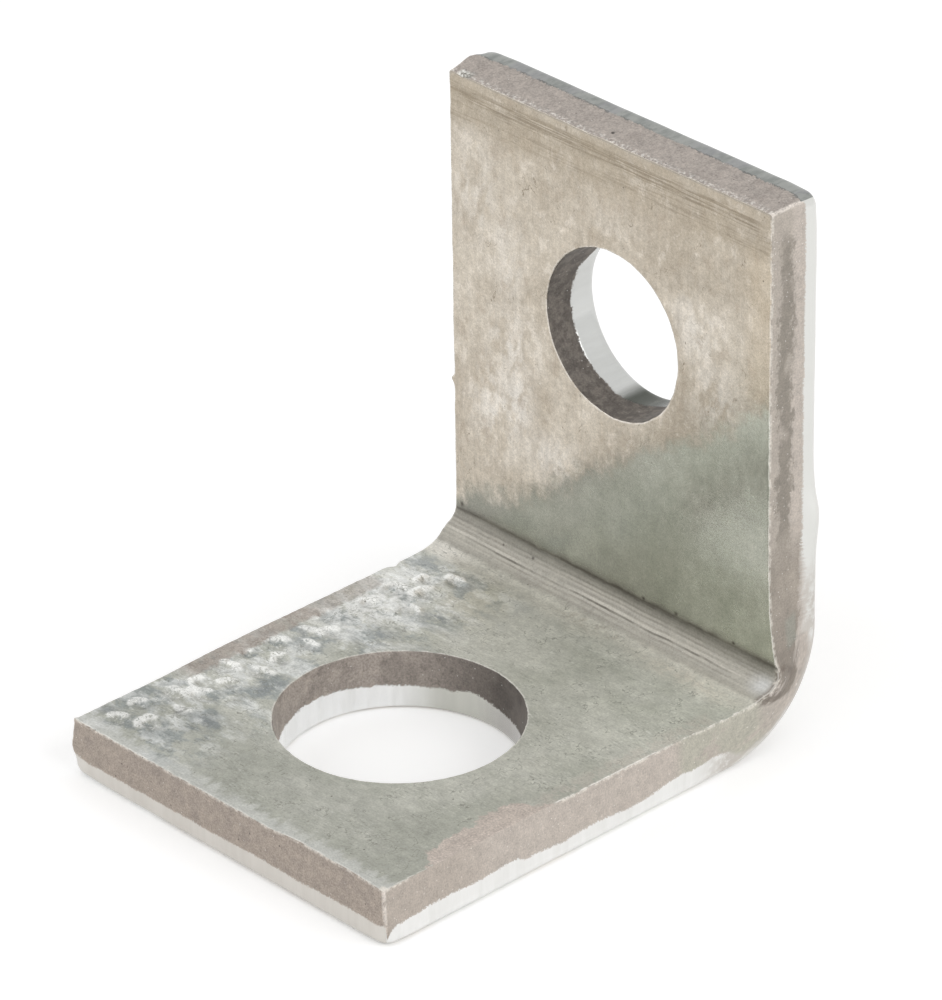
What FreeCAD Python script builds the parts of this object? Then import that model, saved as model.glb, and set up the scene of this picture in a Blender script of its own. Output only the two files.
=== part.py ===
import FreeCAD, Part
import Sketcher
import math
import os

# Angle bracket: a piece of quarter inch steel plate, sheared all round, punched twice and
# bent once. Millimetres, +Z up. The outlines are drawn with the outer corner of the bend at
# their origin: the base leg runs towards -Y and the upright leg stands along +Z.

os.makedirs("parts", exist_ok=True)
doc = FreeCAD.newDocument("angle_bracket")

sizes = doc.addObject("Spreadsheet::Sheet", "sizes")
driving_sizes = [
    # The plate, its two legs and the two radii of the bend, which thins it.
    ("plate_thickness", 6.35),
    ("plate_width", 44.45),
    ("base_length", 57.15),
    ("upright_height", 58.7),
    ("bend_inner_radius", 3.35),
    ("bend_outer_radius", 12.3),
    # A sheared edge: rolled at the outer face, then smooth, then broken and leaning in.
    ("shear_roll", 1.0),
    ("shear_corner", 1.5),
    ("shear_break_depth", 4.0),
    ("shear_break_lean", 0.25),
    # The swollen ends of the bend, where the squeezed inside of the plate moves sideways. The
    # right end is at +X. Each has its middle a little way up the bend, or down it if negative.
    ("right_swell_out", 1.45),
    ("right_swell_spread", 8.6),
    ("right_swell_depth", 4.8),
    ("right_swell_rise", 0.3),
    ("left_swell_out", 0.65),
    ("left_swell_spread", 6.5),
    ("left_swell_depth", 4.2),
    ("left_swell_rise", -1.5),
    ("swell_root", 4.5),
    # The hole in the base leg, punched upwards from the outer face.
    ("base_hole_diameter", 23.7),
    ("base_hole_mouth", 24.5),
    ("base_hole_setback", 34.4),
    ("base_hole_shift", -0.2),
    ("base_hole_smooth_depth", 2.75),
    # The hole in the upright leg, punched forwards from the back face.
    ("upright_hole_diameter", 17.5),
    ("upright_hole_mouth", 17.85),
    ("upright_hole_height", 37.65),
    ("upright_hole_shift", 0.5),
    ("upright_hole_smooth_depth", 3.4),
    # The rolled rim of both holes, and how far a cutting outline runs past the plate.
    ("hole_roll", 0.7),
    ("cut_overrun", 1.0),
]
for row, (alias, number) in enumerate(driving_sizes, start=1):
    sizes.set(f"A{row}", alias)
    sizes.set(f"B{row}", str(number))
    sizes.setAlias(f"B{row}", alias)
doc.recompute()

body = doc.addObject("PartDesign::Body", "angle_bracket")
body.Label = "angle_bracket"

# The ends and centre of a line or arc, the two axes an outline is drawn on, and their crossing.
START, END, CENTRE = range(1, 4)
LEVEL_AXIS, UPRIGHT_AXIS = range(-1, -3, -1)
ORIGIN = (LEVEL_AXIS, START)

# Points (in millimetres) and directions this near to each other are the same.
SAME = 1e-4


def size(alias):
    return float(sizes.get(alias))


def origin_plane(role):
    return next(item for item in body.Origin.OriginFeatures if item.Role == role)


def new_sketch(name, plane):
    sketch = body.newObject("Sketcher::SketchObject", name)
    sketch.AttachmentSupport = [(origin_plane(plane), "")]
    sketch.MapMode = "FlatFace"
    return sketch


def line(start, end):
    """A straight piece of outline, with the ends where it is entered and left."""
    return Part.LineSegment(FreeCAD.Vector(*start), FreeCAD.Vector(*end)), START, END


def arc(start, end, centre):
    """A round piece of outline that turns the shorter way about its centre."""
    start_angle = math.atan2(start[1] - centre[1], start[0] - centre[0])
    end_angle = math.atan2(end[1] - centre[1], end[0] - centre[0])
    circle = Part.Circle(FreeCAD.Vector(*centre), FreeCAD.Vector(0, 0, 1), math.dist(start, centre))
    if (end_angle - start_angle) % math.tau < math.pi:
        return Part.ArcOfCircle(circle, start_angle, end_angle), START, END
    return Part.ArcOfCircle(circle, end_angle, start_angle), END, START


def heading(shape, end):
    """Which way a line or arc points at its start or end."""
    return shape.tangent(shape.FirstParameter if end == START else shape.LastParameter)[0]


def draw(sketch, pieces, closed=True):
    """Draws the pieces end to end, tangent where they meet smoothly. Gives their numbers."""
    numbers = [sketch.addGeometry(shape) for shape, _, _ in pieces]
    following = list(range(1, len(pieces))) + [0]
    for here, there in enumerate(following if closed else following[:-1]):
        shape, _, leave = pieces[here]
        next_shape, entry, _ = pieces[there]
        turn = heading(shape, leave).cross(heading(next_shape, entry)).Length
        kind = "Tangent" if turn < SAME else "Coincident"
        sketch.addConstraint(Sketcher.Constraint(kind, numbers[here], leave, numbers[there], entry))
    return numbers


def hold(sketch, kind, *where):
    """Adds a constraint that has no size."""
    sketch.addConstraint(Sketcher.Constraint(kind, *where))


def measure(sketch, kind, *where, rule):
    """Adds a dimension that follows a rule in the sizes of the sheet."""
    number = sketch.addConstraint(Sketcher.Constraint(kind, *where, sketch.evalExpression(rule)))
    name = f"dimension_{number}"
    sketch.renameConstraint(number, name)
    sketch.setExpression(f"Constraints.{name}", rule)


def measure_towards(way, sketch, kind, near, far, rule):
    """Adds the distance from near to far, which lies on the side way of it, +1 or -1."""
    ends = near + far if way > 0 else far + near
    measure(sketch, kind, *ends, rule=rule)


def edges_where(feature, wanted):
    """The names of a feature's edges whose middle point is wanted."""
    edges = feature.Shape.Edges
    middles = [edge.valueAt((edge.FirstParameter + edge.LastParameter) / 2) for edge in edges]
    return [f"Edge{number}" for number, middle in enumerate(middles, start=1) if wanted(middle)]


def build_on(before, feature, estimate):
    """Builds a feature and compares what it adds (+) or takes away (-) with an estimate."""
    doc.recompute()
    change = feature.Shape.Volume - before.Shape.Volume
    if not 0.5 < change / estimate < 2:
        message = f"{feature.Label} changed the volume by {change:.1f}, not about {estimate:.1f}"
        raise RuntimeError(message)


thickness = size("plate_thickness")
side = size("plate_width") / 2
length = size("base_length")
height = size("upright_height")
inner_radius = size("bend_inner_radius")
outer_radius = size("bend_outer_radius")
lean = size("shear_break_lean")
overrun = size("cut_overrun")
smooth = thickness - size("shear_break_depth")
smooth_rule = "sizes.plate_thickness - sizes.shear_break_depth"
inside = thickness + inner_radius

# The side view of the bent plate. Both sheared ends stand upright over their smooth band
# and lean in above it. The bend is thinner than the plate, so its radii have two centres.
side_view = new_sketch("side_view", "YZ_Plane")
underside, heel, back, top, top_break, face, throat, floor, front_break, front = draw(
    side_view,
    [
        line((-length, 0), (-outer_radius, 0)),
        arc((-outer_radius, 0), (0, outer_radius), (-outer_radius, outer_radius)),
        line((0, outer_radius), (0, height)),
        line((0, height), (-smooth, height)),
        line((-smooth, height), (-thickness, height - lean)),
        line((-thickness, height - lean), (-thickness, inside)),
        arc((-thickness, inside), (-inside, thickness), (-inside, inside)),
        line((-inside, thickness), (lean - length, thickness)),
        line((lean - length, thickness), (-length, smooth)),
        line((-length, smooth), (-length, 0)),
    ],
)
for level in (underside, top, floor):
    hold(side_view, "Horizontal", level)
for plumb in (back, face, front):
    hold(side_view, "Vertical", plumb)
hold(side_view, "PointOnObject", underside, START, LEVEL_AXIS)
hold(side_view, "PointOnObject", back, END, UPRIGHT_AXIS)
measure(side_view, "Radius", heel, rule="sizes.bend_outer_radius")
measure(side_view, "Radius", throat, rule="sizes.bend_inner_radius")
measure(side_view, "DistanceX", underside, START, *ORIGIN, rule="sizes.base_length")
measure(side_view, "DistanceY", *ORIGIN, back, END, rule="sizes.upright_height")
measure(side_view, "DistanceY", *ORIGIN, floor, START, rule="sizes.plate_thickness")
measure(side_view, "DistanceX", face, START, *ORIGIN, rule="sizes.plate_thickness")
measure(side_view, "DistanceY", front, END, front, START, rule=smooth_rule)
measure(side_view, "DistanceX", top, END, top, START, rule=smooth_rule)
measure(side_view, "DistanceX", front_break, END, front_break, START, rule="sizes.shear_break_lean")
measure(side_view, "DistanceY", top_break, END, top_break, START, rule="sizes.shear_break_lean")

plate = body.newObject("PartDesign::Pad", "plate")
plate.Profile = side_view
plate.SideType = "Symmetric"
plate.setExpression("Length", "sizes.plate_width")
doc.recompute()

# The broken part of a long sheared edge leans in as the ends do. A wedge that follows the
# outer face along the base, round the bend and up the upright leg takes it off one side, so
# the smooth band keeps its width where the bend thins the plate.
past_front = "sizes.base_length + sizes.cut_overrun"
past_top = "sizes.upright_height + sizes.cut_overrun"
edge_route = new_sketch("edge_route", "YZ_Plane")
level_run, turn, plumb_run = draw(
    edge_route,
    [
        line((-length - overrun, 0), (-outer_radius, 0)),
        arc((-outer_radius, 0), (0, outer_radius), (-outer_radius, outer_radius)),
        line((0, outer_radius), (0, height + overrun)),
    ],
    closed=False,
)
hold(edge_route, "Horizontal", level_run)
hold(edge_route, "Vertical", plumb_run)
hold(edge_route, "PointOnObject", level_run, END, LEVEL_AXIS)
hold(edge_route, "PointOnObject", plumb_run, START, UPRIGHT_AXIS)
measure(edge_route, "Radius", turn, rule="sizes.bend_outer_radius")
measure(edge_route, "DistanceX", level_run, START, *ORIGIN, rule=past_front)
measure(edge_route, "DistanceY", *ORIGIN, plumb_run, END, rule=past_top)

wedge_height = size("shear_break_depth") + overrun
wedge_lean = lean * wedge_height / size("shear_break_depth")
wedge_height_rule = "sizes.shear_break_depth + sizes.cut_overrun"
wedge_lean_rule = f"sizes.shear_break_lean * ({wedge_height_rule}) / sizes.shear_break_depth"
edge_wedge = new_sketch("edge_wedge", "XZ_Plane")
edge_wedge.setExpression("AttachmentOffset.Base.z", past_front)
slant, lid, wall, sill = draw(
    edge_wedge,
    [
        line((side, smooth), (side - wedge_lean, smooth + wedge_height)),
        line((side - wedge_lean, smooth + wedge_height), (side + overrun, smooth + wedge_height)),
        line((side + overrun, smooth + wedge_height), (side + overrun, smooth)),
        line((side + overrun, smooth), (side, smooth)),
    ],
)
for level in (lid, sill):
    hold(edge_wedge, "Horizontal", level)
hold(edge_wedge, "Vertical", wall)
measure(edge_wedge, "DistanceX", *ORIGIN, slant, START, rule="sizes.plate_width / 2")
measure(edge_wedge, "DistanceY", *ORIGIN, slant, START, rule=smooth_rule)
measure(edge_wedge, "DistanceX", sill, END, sill, START, rule="sizes.cut_overrun")
measure(edge_wedge, "DistanceY", slant, START, slant, END, rule=wedge_height_rule)
measure(edge_wedge, "DistanceX", slant, END, slant, START, rule=wedge_lean_rule)

edge_break = body.newObject("PartDesign::SubtractivePipe", "edge_break")
edge_break.Profile = edge_wedge
edge_break.Spine = (edge_route, [])
break_volume = lean * size("shear_break_depth") / 2 * (length + height)
build_on(plate, edge_break, -break_volume)

other_edge_break = body.newObject("PartDesign::Mirrored", "other_edge_break")
other_edge_break.Originals = [edge_break]
other_edge_break.MirrorPlane = (origin_plane("YZ_Plane"), [""])
body.Tip = other_edge_break
build_on(edge_break, other_edge_break, -break_volume)


def round_end_corners(before, name, plane, outward, end, end_rule):
    """Rounds the two corners of a leg's sheared end, drawn looking square at the leg.

    Outward is +1 or -1, the way from the bend to the end along the sketch's own upright axis.
    """
    radius = size("shear_corner")
    past_end = end + overrun * outward
    outline = new_sketch(f"{name}_corners", plane)
    for hand in (1, -1):
        on_end = (hand * (side - radius), end)
        on_side = (hand * side, end - radius * outward)
        past_side = hand * (side + overrun)
        rounding, step, outer, cap, back_step = draw(
            outline,
            [
                arc(on_end, on_side, (on_end[0], on_side[1])),
                line(on_side, (past_side, on_side[1])),
                line((past_side, on_side[1]), (past_side, past_end)),
                line((past_side, past_end), (on_end[0], past_end)),
                line((on_end[0], past_end), on_end),
            ],
        )
        for level in (step, cap):
            hold(outline, "Horizontal", level)
        for plumb in (outer, back_step):
            hold(outline, "Vertical", plumb)
        hold(outline, "Horizontal", rounding, CENTRE, step, START)
        hold(outline, "Vertical", rounding, CENTRE, back_step, END)
        on_corner = ((step, START), (step, END), (back_step, END), (cap, END))
        side_point, outer_point, end_point, cap_point = on_corner
        measure(outline, "Radius", rounding, rule="sizes.shear_corner")
        measure_towards(hand, outline, "DistanceX", ORIGIN, side_point, "sizes.plate_width / 2")
        measure_towards(hand, outline, "DistanceX", side_point, outer_point, "sizes.cut_overrun")
        measure_towards(outward, outline, "DistanceY", ORIGIN, end_point, end_rule)
        measure_towards(outward, outline, "DistanceY", end_point, cap_point, "sizes.cut_overrun")
    corner_cut = body.newObject("PartDesign::Pocket", f"{name}_corner_cut")
    corner_cut.Profile = outline
    corner_cut.Type = "ThroughAll"
    corner_cut.Reversed = True
    build_on(before, corner_cut, -2 * (1 - math.pi / 4) * radius**2 * thickness)
    return corner_cut


base_corners = round_end_corners(
    other_edge_break, "base", "XY_Plane", -1, -length, "sizes.base_length"
)
upright_corners = round_end_corners(
    base_corners, "upright", "XZ_Plane", 1, height, "sizes.upright_height"
)


def depth_under_skin(point):
    """How far a point lies inside the outer face of the plate, round the bend too."""
    if point.y > -outer_radius and point.z < outer_radius:
        return outer_radius - math.hypot(point.y + outer_radius, point.z - outer_radius)
    return min(point.z, -point.y)


def is_rolled(point):
    """Is the point on the sheared edge of the outer face, with its straights and corners?"""
    to_end = min(point.y + length, height - point.z)
    to_side = side - abs(point.x)
    return depth_under_skin(point) < SAME and min(to_end, to_side) < size("shear_corner") / 2


# Shearing pulls the plate down along its whole outer edge, the bend included.
roll = body.newObject("PartDesign::Fillet", "roll")
roll.Base = (upright_corners, edges_where(upright_corners, is_rolled))
roll.setExpression("Radius", "sizes.shear_roll")
outer_edge = 2 * (2 * side + length + height)
build_on(upright_corners, roll, -(1 - math.pi / 4) * size("shear_roll") ** 2 * outer_edge)

# Bending squeezes the inside of the plate, which swells out at both ends of the bend. Each
# swelling is an egg shape that lies along the bend, about a third of it outside the plate.
throat_middle = "(sizes.plate_thickness + sizes.bend_inner_radius * (1 - 1 / sqrt(2)))"
swells = [roll]
swollen_volume = 0
for hand, way in (("right", 1), ("left", -1)):
    swell = body.newObject("PartDesign::AdditiveEllipsoid", f"{hand}_swell")
    rise = f"sizes.{hand}_swell_rise / sqrt(2)"
    swell.setExpression("Radius1", f"sizes.{hand}_swell_depth")
    swell.setExpression("Radius2", f"sizes.{hand}_swell_out + sizes.swell_root")
    swell.setExpression("Radius3", f"sizes.{hand}_swell_spread")
    swell.setExpression("Placement.Base.x", f"{way} * (sizes.plate_width / 2 - sizes.swell_root)")
    swell.setExpression("Placement.Base.y", f"{rise} - {throat_middle}")
    swell.setExpression("Placement.Base.z", f"{rise} + {throat_middle}")
    swell.Placement.Rotation = FreeCAD.Rotation(FreeCAD.Vector(1, 0, 0), 45)
    half_width = size(f"{hand}_swell_out") + size("swell_root")
    half_section = size(f"{hand}_swell_spread") * size(f"{hand}_swell_depth")
    egg_volume = 4 / 3 * math.pi * half_section * half_width
    build_on(swells[-1], swell, egg_volume / 3)
    swollen_volume += egg_volume / 3
    swells.append(swell)

# The bending tool keeps the open angle clear, so the swellings end at the inner face.
open_angle = new_sketch("open_angle", "YZ_Plane")
round_corner, shelf, far_side, lid, near_side = draw(
    open_angle,
    [
        arc((-thickness, inside), (-inside, thickness), (-inside, inside)),
        line((-inside, thickness), (-length - overrun, thickness)),
        line((-length - overrun, thickness), (-length - overrun, height + overrun)),
        line((-length - overrun, height + overrun), (-thickness, height + overrun)),
        line((-thickness, height + overrun), (-thickness, inside)),
    ],
)
for level in (shelf, lid):
    hold(open_angle, "Horizontal", level)
for plumb in (far_side, near_side):
    hold(open_angle, "Vertical", plumb)
measure(open_angle, "Radius", round_corner, rule="sizes.bend_inner_radius")
measure(open_angle, "DistanceX", near_side, END, *ORIGIN, rule="sizes.plate_thickness")
measure(open_angle, "DistanceY", *ORIGIN, shelf, START, rule="sizes.plate_thickness")
measure(open_angle, "DistanceX", shelf, END, *ORIGIN, rule=past_front)
measure(open_angle, "DistanceY", *ORIGIN, near_side, START, rule=past_top)

throat_cut = body.newObject("PartDesign::Pocket", "throat_cut")
throat_cut.Profile = open_angle
throat_cut.SideType = "Symmetric"
past_swells = "sizes.right_swell_out + sizes.left_swell_out + sizes.cut_overrun"
throat_cut.setExpression("Length", f"sizes.plate_width + 2 * ({past_swells})")
build_on(swells[-1], throat_cut, -swollen_volume)


def punched_hole(before, name, plane, inward, setback, level):
    """Cuts one punched hole: a rolled rim at the outer face, a smooth wall, a broken cone.

    The section is drawn from the hole's axis, which is the sketch's own upright axis. Inward
    is +1 or -1, the way along that axis from the outer face to the inner face.
    """
    radius = size(f"{name}_diameter") / 2
    mouth = size(f"{name}_mouth") / 2
    wall_end = size(f"{name}_smooth_depth") * inward
    rim = size("hole_roll")
    inner_face = thickness * inward
    below = -overrun * inward
    above = inner_face - below
    section = new_sketch(f"{name}_section", plane)
    section.setExpression("AttachmentOffset.Base.x", setback)
    section.setExpression("AttachmentOffset.Base.z", level)
    start_lid, start_side, rounding, wall, cone, end_side, end_lid, spindle = draw(
        section,
        [
            line((0, below), (radius + rim, below)),
            line((radius + rim, below), (radius + rim, 0)),
            arc((radius + rim, 0), (radius, rim * inward), (radius + rim, rim * inward)),
            line((radius, rim * inward), (radius, wall_end)),
            line((radius, wall_end), (mouth, inner_face)),
            line((mouth, inner_face), (mouth, above)),
            line((mouth, above), (0, above)),
            line((0, above), (0, below)),
        ],
    )
    for flat in (start_lid, end_lid):
        hold(section, "Horizontal", flat)
    for plumb in (start_side, wall, end_side, spindle):
        hold(section, "Vertical", plumb)
    hold(section, "PointOnObject", spindle, START, UPRIGHT_AXIS)
    hold(section, "PointOnObject", start_side, END, LEVEL_AXIS)
    hold(section, "Vertical", rounding, CENTRE, start_side, END)
    measure(section, "Radius", rounding, rule="sizes.hole_roll")
    measure(section, "DistanceX", *ORIGIN, wall, START, rule=f"sizes.{name}_diameter / 2")
    measure(section, "DistanceX", *ORIGIN, cone, END, rule=f"sizes.{name}_mouth / 2")
    past_inner_face = "sizes.plate_thickness + sizes.cut_overrun"
    for way, point, rule in (
        (-inward, (start_lid, START), "sizes.cut_overrun"),
        (inward, (wall, END), f"sizes.{name}_smooth_depth"),
        (inward, (cone, END), "sizes.plate_thickness"),
        (inward, (end_lid, END), past_inner_face),
    ):
        measure_towards(way, section, "DistanceY", ORIGIN, point, rule)
    hole = body.newObject("PartDesign::Groove", name)
    hole.Profile = section
    hole.ReferenceAxis = (section, ["V_Axis"])
    hole.Angle = 360
    build_on(before, hole, -math.pi * radius**2 * thickness)
    return hole


base_hole = punched_hole(
    throat_cut, "base_hole", "YZ_Plane", 1, "-sizes.base_hole_setback", "sizes.base_hole_shift"
)
punched_hole(
    base_hole, "upright_hole", "XY_Plane", -1, "sizes.upright_hole_shift", "sizes.upright_hole_height"
)

# The part stands on its base leg with the middle of its depth at the origin.
body.setExpression("Placement.Base.y", "sizes.base_length / 2")
doc.recompute()

failed = [item.Label for item in doc.Objects if {"Invalid", "Error"} & set(item.State)]
if failed:
    raise RuntimeError(f"these did not build: {failed}")
shape = body.Shape
if shape.isNull() or not shape.isValid() or len(shape.Solids) != 1:
    raise RuntimeError("the bracket is not one valid solid")
box = shape.optimalBoundingBox()
if box.ZMin < -SAME or box.YMax > length / 2 + SAME:
    raise RuntimeError("a swelling breaks through the outer face of the plate")
shape.exportStep(os.path.join("parts", f"{body.Label}.step"))
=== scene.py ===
import math

import bmesh
import bpy
import numpy as np
from mathutils import Matrix, Vector, noise


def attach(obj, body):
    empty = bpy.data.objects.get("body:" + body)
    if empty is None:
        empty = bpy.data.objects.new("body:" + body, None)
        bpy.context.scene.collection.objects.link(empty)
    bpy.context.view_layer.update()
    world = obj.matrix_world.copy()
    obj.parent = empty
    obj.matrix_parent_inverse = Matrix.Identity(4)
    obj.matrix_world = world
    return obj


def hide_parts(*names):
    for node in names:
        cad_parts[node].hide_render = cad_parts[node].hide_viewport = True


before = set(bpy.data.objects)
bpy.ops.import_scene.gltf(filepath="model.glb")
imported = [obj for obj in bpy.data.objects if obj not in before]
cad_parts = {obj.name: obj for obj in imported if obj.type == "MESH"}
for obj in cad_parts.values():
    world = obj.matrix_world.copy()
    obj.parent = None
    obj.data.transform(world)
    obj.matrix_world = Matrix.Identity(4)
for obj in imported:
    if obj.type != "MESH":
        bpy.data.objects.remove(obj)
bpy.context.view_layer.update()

# The bracket is one piece of quarter inch steel plate. It was sheared to length and width, punched
# twice and then bent, so its shape is worked out on the flat plate and folded afterwards. All its
# sizes are in millimetres.
MM = 0.001
WIDTH, THICKNESS = 44.45, 6.35
BASE_LENGTH, UPRIGHT_HEIGHT = 57.15, 58.7
INNER_BEND, OUTER_BEND = 3.35, 12.3
BACK_FACE = BASE_LENGTH / 2
SIDE = WIDTH / 2

# Lengths along the flat plate, measured on its inner face from the front edge of the base leg.
BEND_START = BASE_LENGTH - THICKNESS - INNER_BEND
BEND_END = BEND_START + INNER_BEND * math.pi / 2
PLATE_END = BEND_END + UPRIGHT_HEIGHT - THICKNESS - INNER_BEND

# The outside bends earlier than the inside. The rows of the outer face are moved to allow for it,
# and none is moved that lies further from the bend than this.
MOVED_REACH = 8.3
STRAIGHT_BEFORE = BEND_START - MOVED_REACH
STRAIGHT_AFTER = BEND_END + MOVED_REACH


def spaced(stops):
    """Positions from the first stop to the last. Each stop is a place and the spacing wanted there."""
    places, gaps = zip(*stops)
    fine = np.linspace(places[0], places[-1], 4000)
    crowd = np.cumsum(1 / np.interp(fine, places, gaps))
    crowd = (crowd - crowd[0]) / (crowd[-1] - crowd[0])
    count = round(sum(np.diff(fine) / np.interp(fine[1:], places, gaps)))
    return np.interp(np.linspace(0, 1, count + 1), crowd, fine)


columns = spaced(
    [(-SIDE, 0.17), (-21, 0.25), (-12, 0.28), (-10, 0.5), (18, 0.5), (20.6, 0.25), (SIDE, 0.17)]
)
rows = spaced(
    [
        (0, 0.17), (1.6, 0.33), (46, 0.33), (48.6, 0.13), (53.4, 0.13), (55, 0.25), (58, 0.5),
        (66, 0.5), (66.8, 0.2), (67.8, 0.2), (68.6, 0.5), (97, 0.55), (100, 0.25),
        (PLATE_END, 0.17),
    ]
)

# Each wall that the shear or a punch left is crossed by these rows, as shares of its smooth band
# and then of its broken part.
smooth_rows = [0, 0.08, 0.17, 0.28, 0.4, 0.55, 0.7, 0.84, 0.94]
broken_rows = [0, 0.05, 0.13, 0.25, 0.4, 0.55, 0.7, 0.84, 0.93, 0.975, 1]
wall_rows = [share / 2 for share in smooth_rows] + [0.5 + share / 2 for share in broken_rows]

# The two holes, as the punch left them: the middle across and along the flat plate, the radius and
# how far the broken part widens. Both outer rims are rolled to the same radius.
holes = {
    "base_hole": (-0.2, BASE_LENGTH - 34.4, 11.85, 0.4),
    "upright_hole": (0.5, BEND_END + 27.95, 8.75, 0.17),
}
HOLE_ROLL = 0.7

points, numbers, panels, panel_kinds = [], {}, [], []
FACE, WALL, HOLE_WALL = 0, 1, 2


def point(across, along, depth):
    """The number of a point of the flat plate. The same place always has the same number."""
    key = (round(across, 5), round(along, 5), round(depth, 5))
    if key not in numbers:
        numbers[key] = len(points)
        points.append((across, along, depth))
    return numbers[key]


def panel(kind, *corners):
    panels.append(corners)
    panel_kinds.append(kind)


# Both flat faces are a grid with a round hole let into a block of it.
MARGIN_ACROSS, MARGIN_ALONG = 4.5, 3.3
blocks = []
for hole_across, hole_along, radius, _ in holes.values():
    half_across, half_along = radius + MARGIN_ACROSS, radius + MARGIN_ALONG
    first_column = np.searchsorted(columns, hole_across - half_across)
    last_column = np.searchsorted(columns, hole_across + half_across)
    first_row = np.searchsorted(rows, hole_along - half_along)
    last_row = np.searchsorted(rows, hole_along + half_along)
    blocks.append((first_column, last_column, first_row, last_row))
    around = [(columns[i], rows[first_row]) for i in range(first_column, last_column)]
    around += [(columns[last_column], rows[j]) for j in range(first_row, last_row)]
    around += [(columns[i], rows[last_row]) for i in range(last_column, first_column, -1)]
    around += [(columns[first_column], rows[j]) for j in range(last_row, first_row, -1)]
    rim = []
    for across, along in around:
        angle = math.atan2(along - hole_along, across - hole_across)
        rim.append(
            (hole_across + radius * math.cos(angle), hole_along + radius * math.sin(angle))
        )
    shares = spaced([(0, 0.02), (0.1, 0.03), (0.4, 0.06), (1, 0.08)])
    for depth in (0, 1):
        rings = [
            [
                point(near[0] + (far[0] - near[0]) * share, near[1] + (far[1] - near[1]) * share, depth)
                for near, far in zip(rim, around)
            ]
            for share in shares
        ]
        for inner_ring, outer_ring in zip(rings, rings[1:]):
            for here in range(len(around)):
                ahead = (here + 1) % len(around)
                panel(FACE, inner_ring[here], outer_ring[here], outer_ring[ahead], inner_ring[ahead])
    hoops = [[point(across, along, depth) for across, along in rim] for depth in wall_rows]
    for low_hoop, high_hoop in zip(hoops, hoops[1:]):
        for here in range(len(rim)):
            ahead = (here + 1) % len(rim)
            panel(HOLE_WALL, low_hoop[here], low_hoop[ahead], high_hoop[ahead], high_hoop[here])

for depth in (0, 1):
    for i in range(len(columns) - 1):
        for j in range(len(rows) - 1):
            if any(a <= i < b and c <= j < d for a, b, c, d in blocks):
                continue
            corners = ((i, j), (i + 1, j), (i + 1, j + 1), (i, j + 1))
            panel(FACE, *[point(columns[a], rows[b], depth) for a, b in corners])
outline = [(x, rows[0]) for x in columns[:-1]] + [(columns[-1], s) for s in rows[:-1]]
outline += [(x, rows[-1]) for x in columns[:0:-1]] + [(columns[0], s) for s in rows[:0:-1]]
hoops = [[point(across, along, depth) for across, along in outline] for depth in wall_rows]
for low_hoop, high_hoop in zip(hoops, hoops[1:]):
    for here in range(len(outline)):
        ahead = (here + 1) % len(outline)
        panel(WALL, low_hoop[here], low_hoop[ahead], high_hoop[ahead], high_hoop[here])

flat = np.array(points)
across, along, layer = flat.T


def wander(size, seed, stretch=(1, 1, 1)):
    """Smooth random numbers from -1 to 1 over the flat plate, with hills about one size wide."""
    spots = np.column_stack([across, along, layer * THICKNESS]) / size * stretch + seed * 17.3
    return np.array([noise.noise(spot) for spot in spots.tolist()])


def smoothly(low, high, value):
    """Rises from 0 at low to 1 at high with no corner."""
    share = np.clip((value - low) / (high - low), 0, 1)
    return share * share * (3 - 2 * share)


def bump(value, middle, reach):
    """A round hump that is 1 at its middle."""
    return np.exp(-(((value - middle) / reach) ** 2))


# How far each point is from the sheared outline and from the rims of the holes.
from_side = SIDE - np.abs(across)
from_end = np.minimum(along, PLATE_END - along)
from_outline = np.minimum(from_side, from_end)
hand = np.sign(across)
from_rim = {}
angle_round = {}
for name, (hole_across, hole_along, radius, _) in holes.items():
    reach_across, reach_along = across - hole_across, along - hole_along
    from_rim[name] = np.hypot(reach_across, reach_along) - radius
    angle_round[name] = np.degrees(np.arctan2(reach_along, reach_across)) % 360

# The depth, from the outer face, at which the smooth sheared band ends and the broken part begins.
# It wanders, and differs on each side of the plate and round each hole.
front_line = [
    (-22.3, 2.6), (-20, 2.05), (-14.6, 2.2), (-2, 2.25), (4, 2.35), (10, 2.3), (13, 2.4),
    (19, 2.45), (20.7, 2.35), (22.3, 2.5),
]
top_line = [
    (-22.3, 2.5), (-18, 2.15), (-8, 2.2), (0, 2.15), (8, 2.2), (16, 2.25), (20.5, 2.2),
    (22.3, 2.6),
]
right_line = [
    (0, 0.5), (0.5, 1.4), (0.9, 2.0), (1.7, 2.2), (5, 2.5), (8.3, 2.6), (12.3, 2.45), (16, 2.7),
    (17.1, 2.55), (18.3, 2.0), (19.1, 2.2), (22.9, 1.8), (23.7, 2.05), (27.4, 2.2), (30.3, 1.9),
    (33.7, 1.85), (37.1, 2.4), (39.1, 2.65), (40, 2.4), (41.7, 2.5), (44, 2.8), (46.3, 2.5),
    (47.4, 2.1), (48, 1.4), (49, 1.1), (52, 1.1), (52.9, 1.8), (53.5, 2.4), (55.8, 1.9),
    (58, 2.15), (61, 2.1), (64, 2.2), (68, 2.15), (74, 2.05), (92, 2.1), (PLATE_END, 2.05),
]
left_line = [
    (0, 2.8), (10, 2.3), (30, 2.6), (44, 2.4), (49, 1.2), (54, 2.2), (75, 2.5), (PLATE_END, 2.2),
]
base_hole_line = [
    (0, 2.2), (40, 2.6), (80, 2.6), (100, 3.1), (112, 2.6), (140, 2.7), (180, 3.2), (230, 2.8),
    (290, 2.5), (330, 2.2), (360, 2.2),
]
upright_hole_line = [
    (0, 2.6), (90, 1.6), (147, 1.3), (160, 2.8), (180, 3.3), (225, 3.4), (260, 3.3), (289, 2.4),
    (330, 2.5), (360, 2.6),
]

on_end = from_end <= from_side
at_front = along < PLATE_END / 2

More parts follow.
